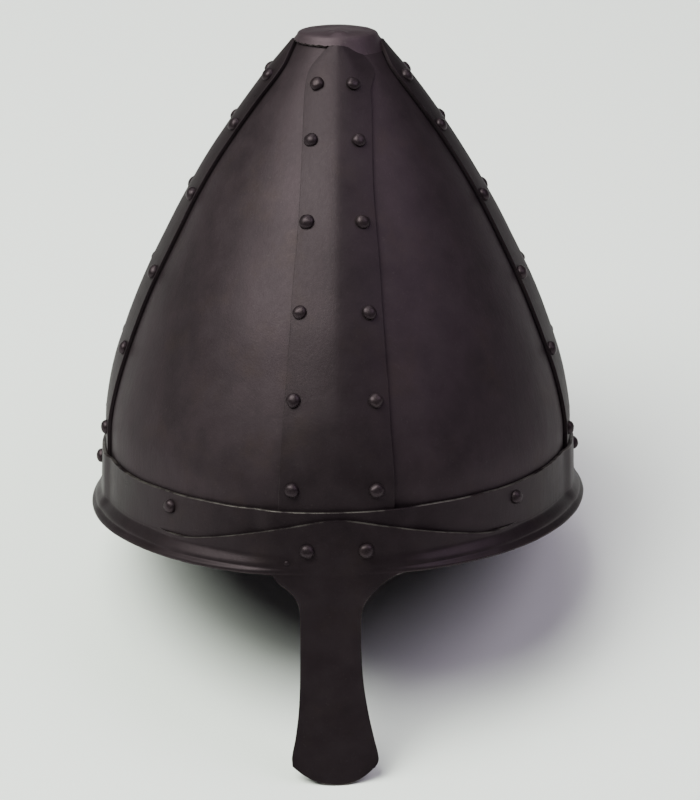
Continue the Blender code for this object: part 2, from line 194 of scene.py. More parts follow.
# Flared section under the crease: a hollow, a fine groove and a rolled lip.
FLARE_ROWS = (
    FlareRow(0.00, 0.00),
    FlareRow(0.06, 0.04),
    FlareRow(0.16, 0.16),
    FlareRow(0.30, 0.36),
    FlareRow(0.44, 0.54),
    FlareRow(0.56, 0.63),
    FlareRow(0.63, 0.64),
    FlareRow(0.70, 0.74),
    FlareRow(0.79, 0.95),
    FlareRow(0.88, 1.06),
    FlareRow(0.96, 1.05),
    FlareRow(1.00, 0.97),
)

# Upper edge of the front wings: shares of their spread from the front line, and of their rise.
WING_ROWS = (
    WingRow(0.00, 1.00),
    WingRow(0.05, 0.99),
    WingRow(0.12, 0.93),
    WingRow(0.24, 0.79),
    WingRow(0.45, 0.54),
    WingRow(0.62, 0.33),
    WingRow(0.80, 0.13),
    WingRow(1.00, 0.00),
)

# Outline of the nose guard: shares of its drop, and half widths either side of the front line.
NASAL_ROWS = (
    NasalRow(0.000, 1.47, 1.47),
    NasalRow(0.035, 1.36, 1.13),
    NasalRow(0.070, 1.15, 0.90),
    NasalRow(0.110, 0.96, 0.72),
    NasalRow(0.160, 0.86, 0.60),
    NasalRow(0.235, 0.84, 0.56),
    NasalRow(0.470, 0.84, 0.60),
    NasalRow(0.640, 0.87, 0.72),
    NasalRow(0.780, 0.95, 0.87),
    NasalRow(0.870, 1.03, 0.97),
    NasalRow(0.950, 1.03, 0.95),
    NasalRow(1.000, 1.02, 0.88),
)

# Crown from its shoulder in to its middle: shares of its radius and of its rise.
CROWN_ROWS = (
    CrownRow(0.00, 1.00),
    CrownRow(0.50, 0.93),
    CrownRow(0.80, 0.78),
    CrownRow(0.91, 0.62),
    CrownRow(0.965, 0.42),
    CrownRow(0.99, 0.17),
    CrownRow(1.00, 0.00),
)

RIVET_ROWS = (
    RivetRow(0.00, 1.00),
    RivetRow(0.22, 0.985),
    RivetRow(0.48, 0.90),
    RivetRow(0.72, 0.73),
    RivetRow(0.89, 0.50),
    RivetRow(0.97, 0.26),
    RivetRow(1.00, 0.00),
)

PAIR_ROWS = (
    PairRow(0.170, 0.0016, 0.0016),
    PairRow(0.342, 0.0, 0.0),
    PairRow(0.505, 0.0, 0.0),
    PairRow(0.670, 0.0, -0.0004),
    PairRow(0.818, 0.0, -0.0010),
    PairRow(0.921, 0.0014, -0.0012),
)

RIVET_INSETS = {
    "front": Insets(0.0036, 0.0056),
    "left": Insets(0.0036, 0.0045),
    "back": Insets(0.0045, 0.0045),
    "right": Insets(0.0045, 0.0038),
}
BROW_RIVET_AZIMUTHS = (47, 91, 137, 172, -172, -137, -87, -43)
BAND_AZIMUTHS = {"front": 0.0, "left": math.pi / 2, "back": math.pi, "right": -math.pi / 2}
PLATE_CORNERS = {
    "front_left": ("front", "left"),
    "back_left": ("left", "back"),
    "back_right": ("back", "right"),
    "front_right": ("right", "front"),
}

# Small beads of weld and hammer burr: the surface they sit on, degrees round it, height and radius.
BEAD_ROWS = (
    BeadRow("crown", -3.0, 0.2019, 0.0012),
    BeadRow("crown", 3.0, 0.2014, 0.0014),
    BeadRow("crown", 8.0, 0.2004, 0.0011),
    BeadRow("crown", -9.0, 0.1996, 0.0010),
    BeadRow("crown", 1.0, 0.1994, 0.0012),
    BeadRow("band", 26.0, 0.1900, 0.0013),
    BeadRow("band", 23.0, 0.1889, 0.0010),
    BeadRow("band", -4.9, 0.0289, 0.0017),
    BeadRow("band", -3.5, 0.0283, 0.0013),
    BeadRow("band", -2.3, 0.0290, 0.0018),
    BeadRow("band", -1.0, 0.0282, 0.0014),
    BeadRow("band", 0.2, 0.0288, 0.0016),
    BeadRow("band", 1.4, 0.0281, 0.0012),
    BeadRow("rim", -10.2, 0.0058, 0.0013),
    BeadRow("rim", -9.1, 0.0050, 0.0010),
    BeadRow("rim", -11.0, 0.0048, 0.0009),
)


def stance():
    """The upright helmet's move to its pose at rest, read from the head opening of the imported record."""
    opening = frame["record"]["mounts"][0]
    down = Vector(opening["axis"])
    lean = math.asin(-down.y)
    roll = math.atan2(-down.x, -down.z)
    turn = Euler((-lean, roll, 0)).to_matrix().to_4x4()
    return Matrix.Translation(opening["pos_m"]) @ turn @ Matrix.Translation((0, 0, -BROW_PLANE))


STANCE = stance()


class HelmetForm(bpy.types.PropertyGroup):
    """Sizes of the small shapes that only the looks have."""

    hammer_broad: FloatProperty(name="Broad unevenness", description="Depth of the sheets' broad waves",
                                default=0.00042, subtype="DISTANCE", unit="LENGTH")
    hammer_fine: FloatProperty(name="Fine unevenness", description="Depth of the shallow hammer marks",
                               default=0.00007, subtype="DISTANCE", unit="LENGTH")
    edge_waver: FloatProperty(name="Edge waver", description="How far the hand-cut edges wander",
                              default=0.00035, subtype="DISTANCE", unit="LENGTH")
    edge_round: FloatProperty(name="Edge rounding", description="Width of the rounding along a sheet's edges",
                              default=0.00035, subtype="DISTANCE", unit="LENGTH")
    ring_columns: IntProperty(name="Ring columns", description="Faces round the brow band and the rim",
                              default=360, min=72)


class HelmetFinish(bpy.types.PropertyGroup):
    """Colours of the blackened iron."""

    black: FloatVectorProperty(name="Black", description="The finish where it is whole", subtype="COLOR",
                               default=(0.0205, 0.0137, 0.0172))
    grey: FloatVectorProperty(name="Grey", description="The finish where it has dulled", subtype="COLOR",
                              default=(0.0355, 0.0243, 0.0298))
    brown: FloatVectorProperty(name="Brown", description="Old rust under the finish", subtype="COLOR",
                               default=(0.039, 0.0255, 0.0225))
    bare: FloatVectorProperty(name="Bare iron", description="Iron rubbed bright on the edges",
                              subtype="COLOR", default=(0.150, 0.132, 0.126))


class HelmetStage(bpy.types.PropertyGroup):
    """Floor, lights and camera."""

    floor_colour: FloatVectorProperty(name="Floor", description="Colour of the floor", subtype="COLOR",
                                      default=(0.93, 0.93, 0.93))
    key_power: FloatProperty(name="Key light", description="Power of the left light", default=46.0,
                             unit="POWER")
    high_power: FloatProperty(name="High light", description="Power of the upper left light", default=46.0,
                              unit="POWER")
    back_power: FloatProperty(name="Back light", description="Power of the light behind", default=14.0,
                              unit="POWER")
    fill_power: FloatProperty(name="Fill light", description="Power of the right light", default=16.0,
                              unit="POWER")
    world_strength: FloatProperty(name="Room", description="Strength of the light from all round",
                                  default=0.05)
    distance: FloatProperty(name="Distance", description="From the camera to the brow", default=1.5,
                            subtype="DISTANCE", unit="LENGTH")
    elevation: FloatProperty(name="Elevation", description="Camera's height over the brow plane",
                             default=math.radians(15.94), subtype="ANGLE", unit="ROTATION")
    azimuth: FloatProperty(name="Azimuth", description="Camera's turn towards the wearer's left",
                           default=math.radians(0.22), subtype="ANGLE", unit="ROTATION")
    aim_right: FloatProperty(name="Aim right", description="How far right of the brow the camera looks",
                             default=0.0054, subtype="DISTANCE", unit="LENGTH")
    aim_up: FloatProperty(name="Aim up", description="How far over the brow the camera looks",
                          default=0.0187, subtype="DISTANCE", unit="LENGTH")
    lens: FloatProperty(name="Lens", description="Focal length on the sensor", default=152.4, unit="CAMERA")


def along(rows, place, column):
    """The column's value on a smooth curve through the rows, at a place in their first column."""
    places = [row[0] for row in rows]
    values = [getattr(row, column) for row in rows]
    place = min(max(place, places[0]), places[-1])
    last = len(rows) - 1
    low = max(index for index in range(last) if places[index] <= place)

    def slope(index):
        before, after = max(index - 1, 0), min(index + 1, last)
        return (values[after] - values[before]) / (places[after] - places[before])

    span = places[low + 1] - places[low]
    share = (place - places[low]) / span
    rest = 1 - share
    ends = values[low] * (1 + 2 * share) * rest**2 + values[low + 1] * (3 - 2 * share) * share**2
    bends = slope(low) * share * rest**2 - slope(low + 1) * rest * share**2
    return ends + bends * span


def ease(value):
    """A smooth step from 0 to 1 while the value goes from 0 to 1."""
    value = min(max(value, 0.0), 1.0)
    return value * value * (3 - 2 * value)


@functools.lru_cache(maxsize=None)
def half_sizes(height):
    """Half the skull's width and half its length at a height."""
    up = height / SKULL_HEIGHT
    half_width = along(SKULL_ROWS, up, "half_width") * BROW_WIDTH / 2
    half_length = along(SKULL_ROWS, up, "half_length") * BROW_LENGTH / 2
    return half_width, half_length


@functools.lru_cache(maxsize=None)
def band_shares(height):
    """A band's half width and keel at a height."""
    up = height / SKULL_HEIGHT
    return along(BAND_ROWS, up, "half_width") * BAND_WIDTH / 2, along(BAND_ROWS, up, "keel") * BAND_KEEL


def wall(azimuth, height):
    """A point of the smooth plates' surface, before hammering."""
    half_width, half_length = half_sizes(height)
    return Vector((half_width * math.sin(azimuth), -half_length * math.cos(azimuth), height))


def ripple(point):
    """The unevenness that hammering left, which all the layers share at a place."""
    form = bpy.context.scene.helmet_form
    broad = noise.noise(point / WAVE_BROAD + Vector((3.1, 0.7, 5.2)))
    fine = noise.noise(point / WAVE_FINE)
    return form.hammer_broad * broad + form.hammer_fine * fine


def skull(azimuth, height, out):
    """A point that stands out from the infill plates' surface along its normal."""
    turn, climb = 0.01, 0.0005
    point = wall(azimuth, height)
    across = wall(azimuth + turn, height) - wall(azimuth - turn, height)
    upward = wall(azimuth, min(height + climb, SKULL_HEIGHT)) - wall(azimuth, height - climb)
    return point + across.cross(upward).normalized() * (out + ripple(point))


def swing(distance, azimuth, height):
    """The turn about the axis that moves a point of the skull sideways by a distance."""
    half_width, half_length = half_sizes(height)
    reach = math.hypot(half_width * math.cos(azimuth), half_length * math.sin(azimuth))
    return math.asin(min(max(distance / reach, -1.0), 1.0))


def waver(seed, place):
    """How far a hand-cut edge wanders at a place along it."""
    spot = Vector((seed * 7.3, place / WAVER_LENGTH, 0.5))
    return bpy.context.scene.helmet_form.edge_waver * noise.noise(spot)


def ground_flush(name, side, height):
    """How far the front band's top left edge is filled and ground down to the plate, from 0 to 1."""
    if name != "front":
        return 0.0
    return ease((height - FLUSH_START) / FLUSH_LENGTH) * ease((side - 0.45) / 0.55)


def band_point(name, side, height, out):
    """A point over a band: side runs from -1 to 1 across it, out is counted from its outer face."""
    centre = BAND_AZIMUTHS[name]
    half, keel = band_shares(height)
    seed = 2 * list(BAND_AZIMUTHS).index(name) + (side > 0)
    ground = ground_flush(name, side, height)
    half += abs(side) ** 3 * waver(seed, height) + ground * FLUSH_SPREAD
    slope = math.sqrt(side * side + RIDGE_ROUND**2) - RIDGE_ROUND
    ridge = 1 - slope / (math.sqrt(1 + RIDGE_ROUND**2) - RIDGE_ROUND)
    stand = (SHEET + PRESSED + keel * ridge) * (1 - ground) + 0.0001 * ground
    return skull(centre + swing(side * half, centre, height), height, stand + out)


def brow_lift(azimuth):
    """How much higher the slanted brow lies at an azimuth."""
    return BROW_SLANT * math.sin(azimuth) * BROW_WIDTH / 2


def brow_out(azimuth, step_length=STEP_LENGTH):
    """How far the brow band's outer face stands out from the plates: more where it passes over a band."""
    nearest = min(BAND_AZIMUTHS.values(), key=lambda centre: -math.cos(azimuth - centre))
    half_width, half_length = half_sizes(CREASE + 0.0003)
    reach = math.hypot(half_width * math.cos(nearest), half_length * math.sin(nearest))
    beside = reach * abs(math.sin(azimuth - nearest)) - BAND_WIDTH / 2 - STEP_MARGIN
    return (SHEET + PRESSED) * (2 - ease(beside / step_length))


def wing_top(azimuth):
    """Height of the rim's upper edge: a low arch at the front, tucked into the brow band elsewhere."""
    arch = along(WING_ROWS, abs(azimuth) / WING_SPREAD, "rise")
    return CREASE + max(WING_RISE * arch + waver(11, azimuth * BROW_WIDTH / 2) * arch, RIM_TUCK)


def rim_out(azimuth, height):
    """How far the rim's outer face stands out: over the brow band at the front, flush with it elsewhere."""
    wing = 1 - ease((abs(azimuth) - WING_FADE) / WING_BLEND)
    tuck = TUCK_DEPTH * ease((height - CREASE - TUCK_START) / (RIM_TUCK - TUCK_START)) * (1 - wing)
    over = brow_out(azimuth, RIM_STEP_LENGTH) + PRESSED + SHEET
    root = over * wing + (brow_out(azimuth) + PRESSED) * (1 - wing) - tuck
    lip = 2 * LAYER + RIM_FLARE
    share = along(FLARE_ROWS, 1 - height / CREASE, "out")
    front = ease((abs(azimuth) - FLARE_START) / (FLARE_FULL - FLARE_START))
    return root + (lip - root) * share * front


def rim_point(azimuth, height, out=0.0):
    """A point over the rim, out being counted from its outer face."""
    return skull(azimuth, height + brow_lift(azimuth), rim_out(azimuth, height) + out)


def brow_point(azimuth, height, out):
    """A point over the brow band, out being counted from its outer face."""
    return skull(azimuth, height + brow_lift(azimuth), brow_out(azimuth) + out)


def nasal_point(across, root, down_share):
    """A point of the nose guard: across runs from -1 to 1, root is the rim's point that it hangs from."""
    down = down_share * NASAL_DROP
    side = along(NASAL_ROWS, down_share, "left" if across > 0 else "right")
    x = across * side * NASAL_WIDTH / 2
    half_width, half_length = half_sizes(0.0)
    bow = half_length * (1 - math.sqrt(1 - (x / half_width) ** 2))
    front = wall(0.0, 0.0).y - rim_out(0.0, 0.0)
    y = front + bow - down * math.tan(NASAL_LEAN)
    root_bow = half_length * (1 - math.sqrt(1 - (root.x / half_width) ** 2))
    y += (root.y - front - root_bow) * (1 - ease(down_share / 0.16))
    z = root.z * (1 - ease(down_share / 0.10)) - down
    z += NASAL_TIP_BOW * abs(across) ** 2.2 * min(max((down_share - 0.87) / 0.13, 0.0), 1.0)
    point = Vector((x, y, z))
    point.y -= ripple(point) * ease(down_share / 0.16)
    return point


def gathered(share, stops):
    """A place on a line of straight pieces: stops are pairs of a share of the way and the place there."""
    for (low, first), (high, second) in zip(stops, stops[1:]):
        if share <= high:
            return first + (second - first) * (share - low) / (high - low)
    return stops[-1][1]


def seam_mark(distance):
    """How dark the painted shade and dirt are at a distance from a sheet's edge, from 0 to 1."""
    return math.exp(-((distance / SEAM_WIDTH) ** 2))


def brow_height(azimuth, v, top):
    """A height up a plate or band, with most rows close to the brow band's upper edge."""
    lift = brow_lift(azimuth)
    line = BROW_TOP + lift
    stops = ((0, CREASE + lift), (0.10, line - SEAM_REACH), (0.22, line + SEAM_REACH), (1, top))
    return gathered(v, stops)


def bent_grid(columns, rows, place, closed=False, with_shade_and_dirt=False):
    """A grid moved to where place(u, v) says, u and v from 0 to 1.

    A closed one's doubled vertices are joined, and for a grid that takes painted shade and dirt, place also
    gives how much lies there.
    """
    bm = bmesh.new()
    bmesh.ops.create_grid(bm, x_segments=columns, y_segments=rows, size=0.5)
    # This layer holds how much painted shade and dirt lies at each vertex.
    seam = bm.verts.layers.float.new("seam")
    for vertex in bm.verts:
        spot = place(vertex.co.x + 0.5, vertex.co.y + 0.5)
        vertex.co, vertex[seam] = spot if with_shade_and_dirt else (spot, 0.0)
    if closed:
        bmesh.ops.remove_doubles(bm, verts=bm.verts, dist=1e-6)
    return bm


def add_piece(name, bm, finish, nodes):
    """Makes the upright bmesh an object at rest, in its material, that rides and stands for its nodes."""
    bm.transform(STANCE)
    mesh = bpy.data.meshes.new(name)
    bm.to_mesh(mesh)
    bm.free()
    mesh.shade_smooth()
    piece = bpy.data.objects.new(name, mesh)
    bpy.context.scene.collection.objects.link(piece)
    piece.data.materials.append(finish)
    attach(piece, "root")
    if nodes:
        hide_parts(*nodes)
    return piece


def add_sheet(name, bm, finish, nodes, rounding=1.0, walls=None):
    """An outer face given the sheet's thickness inwards, rounded edges and, if named, its walls' finish."""
    worn = bm.verts.layers.float.new("edge")
    for vertex in bm.verts:
        vertex[worn] = 1.0 if vertex.is_boundary else 0.0
    piece = add_piece(name, bm, finish, nodes)
    solidify = piece.modifiers.new("sheet", "SOLIDIFY")
    solidify.thickness = SHEET
    solidify.offset = -1
    solidify.use_even_offset = True
    if walls:
        piece.data.materials.append(walls)
        solidify.material_offset_rim = 1
    bevel = piece.modifiers.new("edges", "BEVEL")
    bevel.width = bpy.context.scene.helmet_form.edge_round * rounding
    bevel.segments = 3
    bevel.limit_method = "ANGLE"
    bevel.angle_limit = math.radians(50)
    bevel.harden_normals = True


class Value:
    """A shader socket, or a number, that takes arithmetic."""

    def __init__(self, nodes, socket):
        self.nodes = nodes
        self.socket = socket

    def maths(self, operation, *values):
        return self.nodes.add("ShaderNodeMath", {"operation": operation}, dict(enumerate(values)))

    def __add__(self, other):
        return self.maths("ADD", self, other)

    def __sub__(self, other):
        return self.maths("SUBTRACT", self, other)

    def __mul__(self, other):
        return self.maths("MULTIPLY", self, other)

    def __rsub__(self, other):
        return self.maths("SUBTRACT", other, self)

    __radd__ = __add__
    __rmul__ = __mul__

    def between(self, low, high):
        """0 where the value is at low or under, 1 at high or over, smooth in between."""
        settings = {"interpolation_type": "SMOOTHSTEP"}
        return self.nodes.add("ShaderNodeMapRange", settings, dict(enumerate((self, low, high, 0.0, 1.0))))


class Finish:
    """A material and its node tree."""

    def __init__(self, name, look):
        self.material = bpy.data.materials.new(name)
        self.material.use_nodes = True
        self.tree = self.material.node_tree
        self.shader = self.tree.nodes["Principled BSDF"]
        self.material.diffuse_color = (*look, 1)

    def add(self, kind, settings, inputs, out=0):
        """A node of this kind with its settings, and values or links for its sockets, by place or by name."""
        node = self.tree.nodes.new(kind)
        for key, setting in settings.items():
            setattr(node, key, setting)
        for key, value in inputs.items():
            self.feed(node.inputs[key], value)
        return Value(self, node.outputs[out])

    def feed(self, socket, value):
        """Links a value to a socket, or sets the socket to a number, a vector or a colour."""
        if isinstance(value, Value):
            self.tree.links.new(value.socket, socket)
        elif hasattr(socket.default_value, "__len__") and len(socket.default_value) == 4 and len(value) == 3:
            socket.default_value = (*value, 1)
        else:
            socket.default_value = value

    def noise(self, vector, scale, detail=2.0, roughness=0.5):
        inputs = {"Vector": vector, "Scale": scale, "Detail": detail, "Roughness": roughness}
        return self.add("ShaderNodeTexNoise", {}, inputs)

    def mix(self, share, first, second):
        """A colour between two, by a share from 0 to 1."""
        return self.add("ShaderNodeMix", {"data_type": "RGBA"}, {0: share, 6: first, 7: second}, out=2)

    def set(self, inputs):
        """Links or values for the shader's sockets."""
        for key, value in inputs.items():
            self.feed(self.shader.inputs[key], value)


def iron_finish(name, tone, wear, roughness):
    """Blackened iron: cloudy, brushed down its length, rubbed at its edges, and darkened with painted shade
    and dirt where sheets meet.
    """
    colours = bpy.context.scene.helmet_finish
    chosen = (colours.black, colours.grey, colours.brown, colours.bare)
    black, grey, brown, bare = (Vector(colour) * tone for colour in chosen)
    finish = Finish(name, grey)
    place = finish.add("ShaderNodeTexCoord", {}, {}, out="Object")
    turn = tuple(-angle for angle in STANCE.to_euler("XYZ"))
    upright = finish.add("ShaderNodeMapping", {"vector_type": "POINT"}, {"Vector": place, "Rotation": turn})
    drawn_out = {"Vector": upright, "Scale": (1.0, 1.0, 0.10)}
    brushed = finish.add("ShaderNodeMapping", {"vector_type": "POINT"}, drawn_out)
    clouds = finish.noise(upright, 16.0, 4.0, 0.55)
    mottle = finish.noise(upright, 95.0, 5.0, 0.62)
    grain = finish.noise(upright, 1300.0, 3.0, 0.6)
    streaks = finish.noise(brushed, 620.0, 3.0, 0.6)
    edge = finish.add("ShaderNodeAttribute", {"attribute_name": "edge"}, {}, out=2)
    rubbed = edge.between(0.70, 1.0) * mottle.between(0.36, 0.60) * wear
    dull = (clouds * 0.6 + mottle * 0.4).between(0.26, 0.76)
    rusty = finish.noise(upright, 38.0, 4.0, 0.6).between(0.52, 0.72) * 0.25
    specks = finish.noise(upright, 900.0, 2.0, 0.5).between(0.62, 0.76) * 0.05
    seam = finish.add("ShaderNodeAttribute", {"attribute_name": "seam"}, {}, out=2)
    colour = finish.mix(dull, black, grey)
    colour = finish.mix(rusty, colour, brown)
    colour = finish.mix(specks, colour, bare)
    colour = finish.mix(rubbed, colour, bare)
    # Painted shade and dirt beside the bands' edges and above the brow band: the colour goes nearly black
    # there.
    colour = finish.mix(seam * 0.85, colour, black * 0.15)
    relief = grain * 0.35 + streaks * 0.35 + mottle * 1.2
    bump = finish.add("ShaderNodeBump", {}, {"Strength": 0.35, "Distance": 0.00035, "Height": relief})
    finish.set({
        "Base Color": colour,
        "Metallic": 0.60,
        "Roughness": roughness + 0.14 * (mottle - 0.5) + 0.10 * (streaks - 0.5) - 0.10 * rubbed,
        "Normal": bump,
        "Specular IOR Level": 0.35,
        "Specular Tint": (0.40, 0.37, 0.39, 1),
    })
    return finish.material


@functools.lru_cache(maxsize=None)
def finish_of(kind):
    """The material of one kind of piece, made at its first use."""
    tones = {
        # The crown's much paler tone is painted light for its lit top; its rubbed edges are wear.
        "crown": ("worn_crown_iron", 1.70, 0.30, 0.56),
        "bands": ("black_band_iron", 0.76, 0.10, 0.52),
        # The bands' walls: duller iron with no rubbed edges, painted shade and dirt along the bands' edges.
        "wall_shade_and_dirt": ("dark_seam_iron", 0.75, 0.00, 0.70),
        "plates": ("black_plate_iron", 1.00, 0.00, 0.54),
        # The rim's low tone, which the brow band shares, is painted shade for the nose guard.
        "rim": ("black_rim_iron", 0.72, 0.85, 0.45),
        "rivets": ("black_rivet_iron", 0.90, 0.40, 0.42),
    }
    return iron_finish(*tones[kind])


class HELMET_OT_plates(bpy.types.Operator):
    """Infill plates of the skull, between the bands"""

    bl_idname = "helmet.plates"
    bl_label = "Infill plates"

    def execute(self, context):
        for name, corners in PLATE_CORNERS.items():
            start, end = (BAND_AZIMUTHS[corner] for corner in corners)
            if end < start:
                end += 2 * math.pi

            def place(u, v):
                top = SKULL_HEIGHT - SHEET
                height = brow_height((start + end) / 2, v, top)
                half = band_shares(height)[0]
                inset = max(half - PLATE_LAP, PLATE_SEAM / 2)
                first = start + swing(inset, start, height)
                last = end - swing(inset, end, height)
                span = (last - first) * math.hypot(*half_sizes(height)) / math.sqrt(2)
                lap = half - inset
                near = min(SEAM_REACH, span / 6)
                stops = [(0, 0), (0.06, lap - near / 2), (0.16, lap + near)]
                stops += [(1 - share, span - far) for share, far in reversed(stops)]
                along_span = gathered(u, stops)
                azimuth = first + (last - first) * along_span / span
                height = brow_height(azimuth, v, top)
                # Painted shade and dirt beside the bands' edges, and a weaker line of it above the brow
                # band's upper edge.
                beside = min(abs(along_span - lap), abs(span - along_span - lap))
                over_brow = height - BROW_TOP - brow_lift(azimuth)
                shade_and_dirt = max(seam_mark(beside), BROW_SHADE_AND_DIRT * seam_mark(over_brow))
                return skull(azimuth, height, 0), shade_and_dirt

            bm = bent_grid(*PLATE_FACES, place, with_shade_and_dirt=True)
            node = f"plate_{name}"
            add_sheet(f"{node}_sheet", bm, finish_of("plates"), [node])
        return {"FINISHED"}


class HELMET_OT_bands(bpy.types.Operator):
    """Ridged bands from the crown to the brow"""

    bl_idname = "helmet.bands"
    bl_label = "Bands"

    def execute(self, context):
        for name, centre in BAND_AZIMUTHS.items():
            top = SKULL_HEIGHT - CROWN_SKIRT - PRESSED

            def place(u, v):
                return band_point(name, 2 * u - 1, brow_height(centre, v, top), 0)

            bm = bent_grid(*BAND_FACES, place)
            node = f"{name}_band"
            # The walls take the duller finish: painted shade and dirt along the bands' edges.
            add_sheet(f"{node}_sheet", bm, finish_of("bands"), [node],
                      walls=finish_of("wall_shade_and_dirt"))
        return {"FINISHED"}


class HELMET_OT_brow_band(bpy.types.Operator):
    """Brow band round the foot of the skull"""

    bl_idname = "helmet.brow_band"
    bl_label = "Brow band"

    def execute(self, context):
        def place(u, v):
            azimuth = 2 * math.pi * u - math.pi
            stray = waver(17, abs(azimuth) * BROW_WIDTH / 2 * (1 if azimuth < 0 else 1.3))
            top = BROW_TOP + stray * (1 - (azimuth / math.pi) ** 6)
            height = BROW_FOOT + (top - BROW_FOOT) * v
            return brow_point(azimuth, height, 0)

        bm = bent_grid(context.scene.helmet_form.ring_columns, BROW_ROWS, place, closed=True)
        add_sheet("brow_band_sheet", bm, finish_of("rim"), ["brow_band"])
        return {"FINISHED"}


def from_left(edges):
    """The edges' vertices in the order of their X."""
    return sorted({vertex for edge in edges for vertex in edge.verts}, key=lambda vertex: vertex.co.x)


class HELMET_OT_rim(bpy.types.Operator):
    """Flared rim with its front wings, drawn down into the nose guard"""

    bl_idname = "helmet.rim"
    bl_label = "Rim and nose guard"

    def execute(self, context):
        columns = context.scene.helmet_form.ring_columns
        rows = RIM_LOW_ROWS + RIM_HIGH_ROWS
        knee = 0.68 * CREASE

        def place(u, v):
            azimuth = 2 * math.pi * u - math.pi
            row = v * rows
            if row < RIM_LOW_ROWS:
                height = knee * row / RIM_LOW_ROWS
            else:
                height = knee + (wing_top(azimuth) - knee) * (row - RIM_LOW_ROWS) / RIM_HIGH_ROWS
            return rim_point(azimuth, height)

        bm = bent_grid(columns, rows, place, closed=True)
        edges = []
        for edge in bm.edges:
            middle = (edge.verts[0].co + edge.verts[1].co) / 2
            azimuth = math.atan2(middle.x / BROW_WIDTH, -middle.y / BROW_LENGTH)
            if edge.is_boundary and middle.z < CREASE / 2 and abs(azimuth) < NASAL_REACH:
                edges.append(edge)
        roots = [vertex.co.copy() for vertex in from_left(edges)]
        last = len(roots) - 1
        for row in range(1, NASAL_GUARD_ROWS + 1):
            made = bmesh.ops.extrude_edge_only(bm, edges=edges)["geom"]
            edges = [item for item in made if isinstance(item, bmesh.types.BMEdge)]
            for index, vertex in enumerate(from_left(edges)):
                across = 2 * index / last - 1
                vertex.co = nasal_point(across, roots[index], (row / NASAL_GUARD_ROWS) ** 1.25)
        add_sheet("nasal_rim_sheet", bm, finish_of("rim"), ["nasal_rim"], 1.25)
        return {"FINISHED"}


class HELMET_OT_crown(bpy.types.Operator):
    """Domed cap that closes the top, ground into the front left plate"""

    bl_idname = "helmet.crown"
    bl_label = "Crown"

    def execute(self, context):
        columns, rows = CROWN_FACES
        crest = skull(0, SKULL_HEIGHT, SHEET + PRESSED).z

        def place(u, v):
            azimuth = 2 * math.pi * u - math.pi
            degrees = math.degrees(azimuth)
            ground = ease((degrees - 4) / 14) * ease((84 - degrees) / 14)
            jag = noise.noise(Vector((degrees / 4.0, 0.3, 0.0))) * JAG_DEPTH * (1 - ground)
            jag *= ease((180 - abs(degrees)) / 20)
            shoulder = skull(azimuth, SKULL_HEIGHT, SHEET + PRESSED)
            row = v * rows
            if row <= CROWN_SKIRT_ROWS:
                foot = SKULL_HEIGHT - CROWN_SKIRT - GROUND_DROP * ground + jag
                stand = (SHEET + PRESSED) * (1 - ground) - GROUND_DEPTH * ground
                return skull(azimuth, foot, stand).lerp(shoulder, row / CROWN_SKIRT_ROWS)
            radius = (rows - row) / (rows - CROWN_SKIRT_ROWS)
            point = Vector((shoulder.x * radius, shoulder.y * radius, crest + (shoulder.z - crest) * radius))
            point.z += CROWN_RISE * along(CROWN_ROWS, radius, "rise")
            knob = ease(1.3 - math.hypot(point.x - 0.0005, point.y + 0.0125) / KNOB_RADIUS)
            rough = noise.noise(point / 0.0012) * 0.0004 * knob
            dented = noise.noise(point / 0.006) * 0.0003 * ease((1 - radius) * 4)
            point.z += KNOB_HEIGHT * knob + rough + dented
            return point

        bm = bent_grid(columns, rows, place, closed=True)
        add_sheet("crown_cap", bm, finish_of("crown"), ["crown"], 1.2)
        return {"FINISHED"}


def seat(place, side, height):
    """A matrix that stands something on a surface: place(side, height, out) gives the surface's points."""
    turn, climb = 0.01, 0.0004
    across = place(side + turn, height, 0.0) - place(side - turn, height, 0.0)
    upward = place(side, height + climb, 0.0) - place(side, height - climb, 0.0)
    normal = across.cross(upward).normalized()
    turned = normal.to_track_quat("Z", "Y").to_matrix().to_4x4()
    return Matrix.Translation(place(side, height, 0.0)) @ turned


def band_seats(name):
    """Where a band's rivets stand, in pairs from its foot up."""
    seats = []
    for row in PAIR_ROWS:
        height = row.up * SKULL_HEIGHT
        for sign, inset in zip((-1, 1), RIVET_INSETS[name]):
            rear = sign * math.sin(BAND_AZIMUTHS[name]) > 0.5
            inset += row.more_rear if rear else row.more_inset
            side = sign * (1 - inset / band_shares(height)[0])
            seats.append(seat(lambda s, h, out: band_point(name, s, h, out), side, height))
    return seats


def brow_seats():
    height = BROW_TOP - BROW_RIVET_DROP
    return [seat(brow_point, math.radians(degrees), height) for degrees in BROW_RIVET_AZIMUTHS]


def nasal_seats():
    turn = swing(NASAL_RIVET_SPACING / 2, 0.0, NASAL_RIVET_HEIGHT)
    return [seat(rim_point, sign * turn, NASAL_RIVET_HEIGHT) for sign in (-1, 1)]


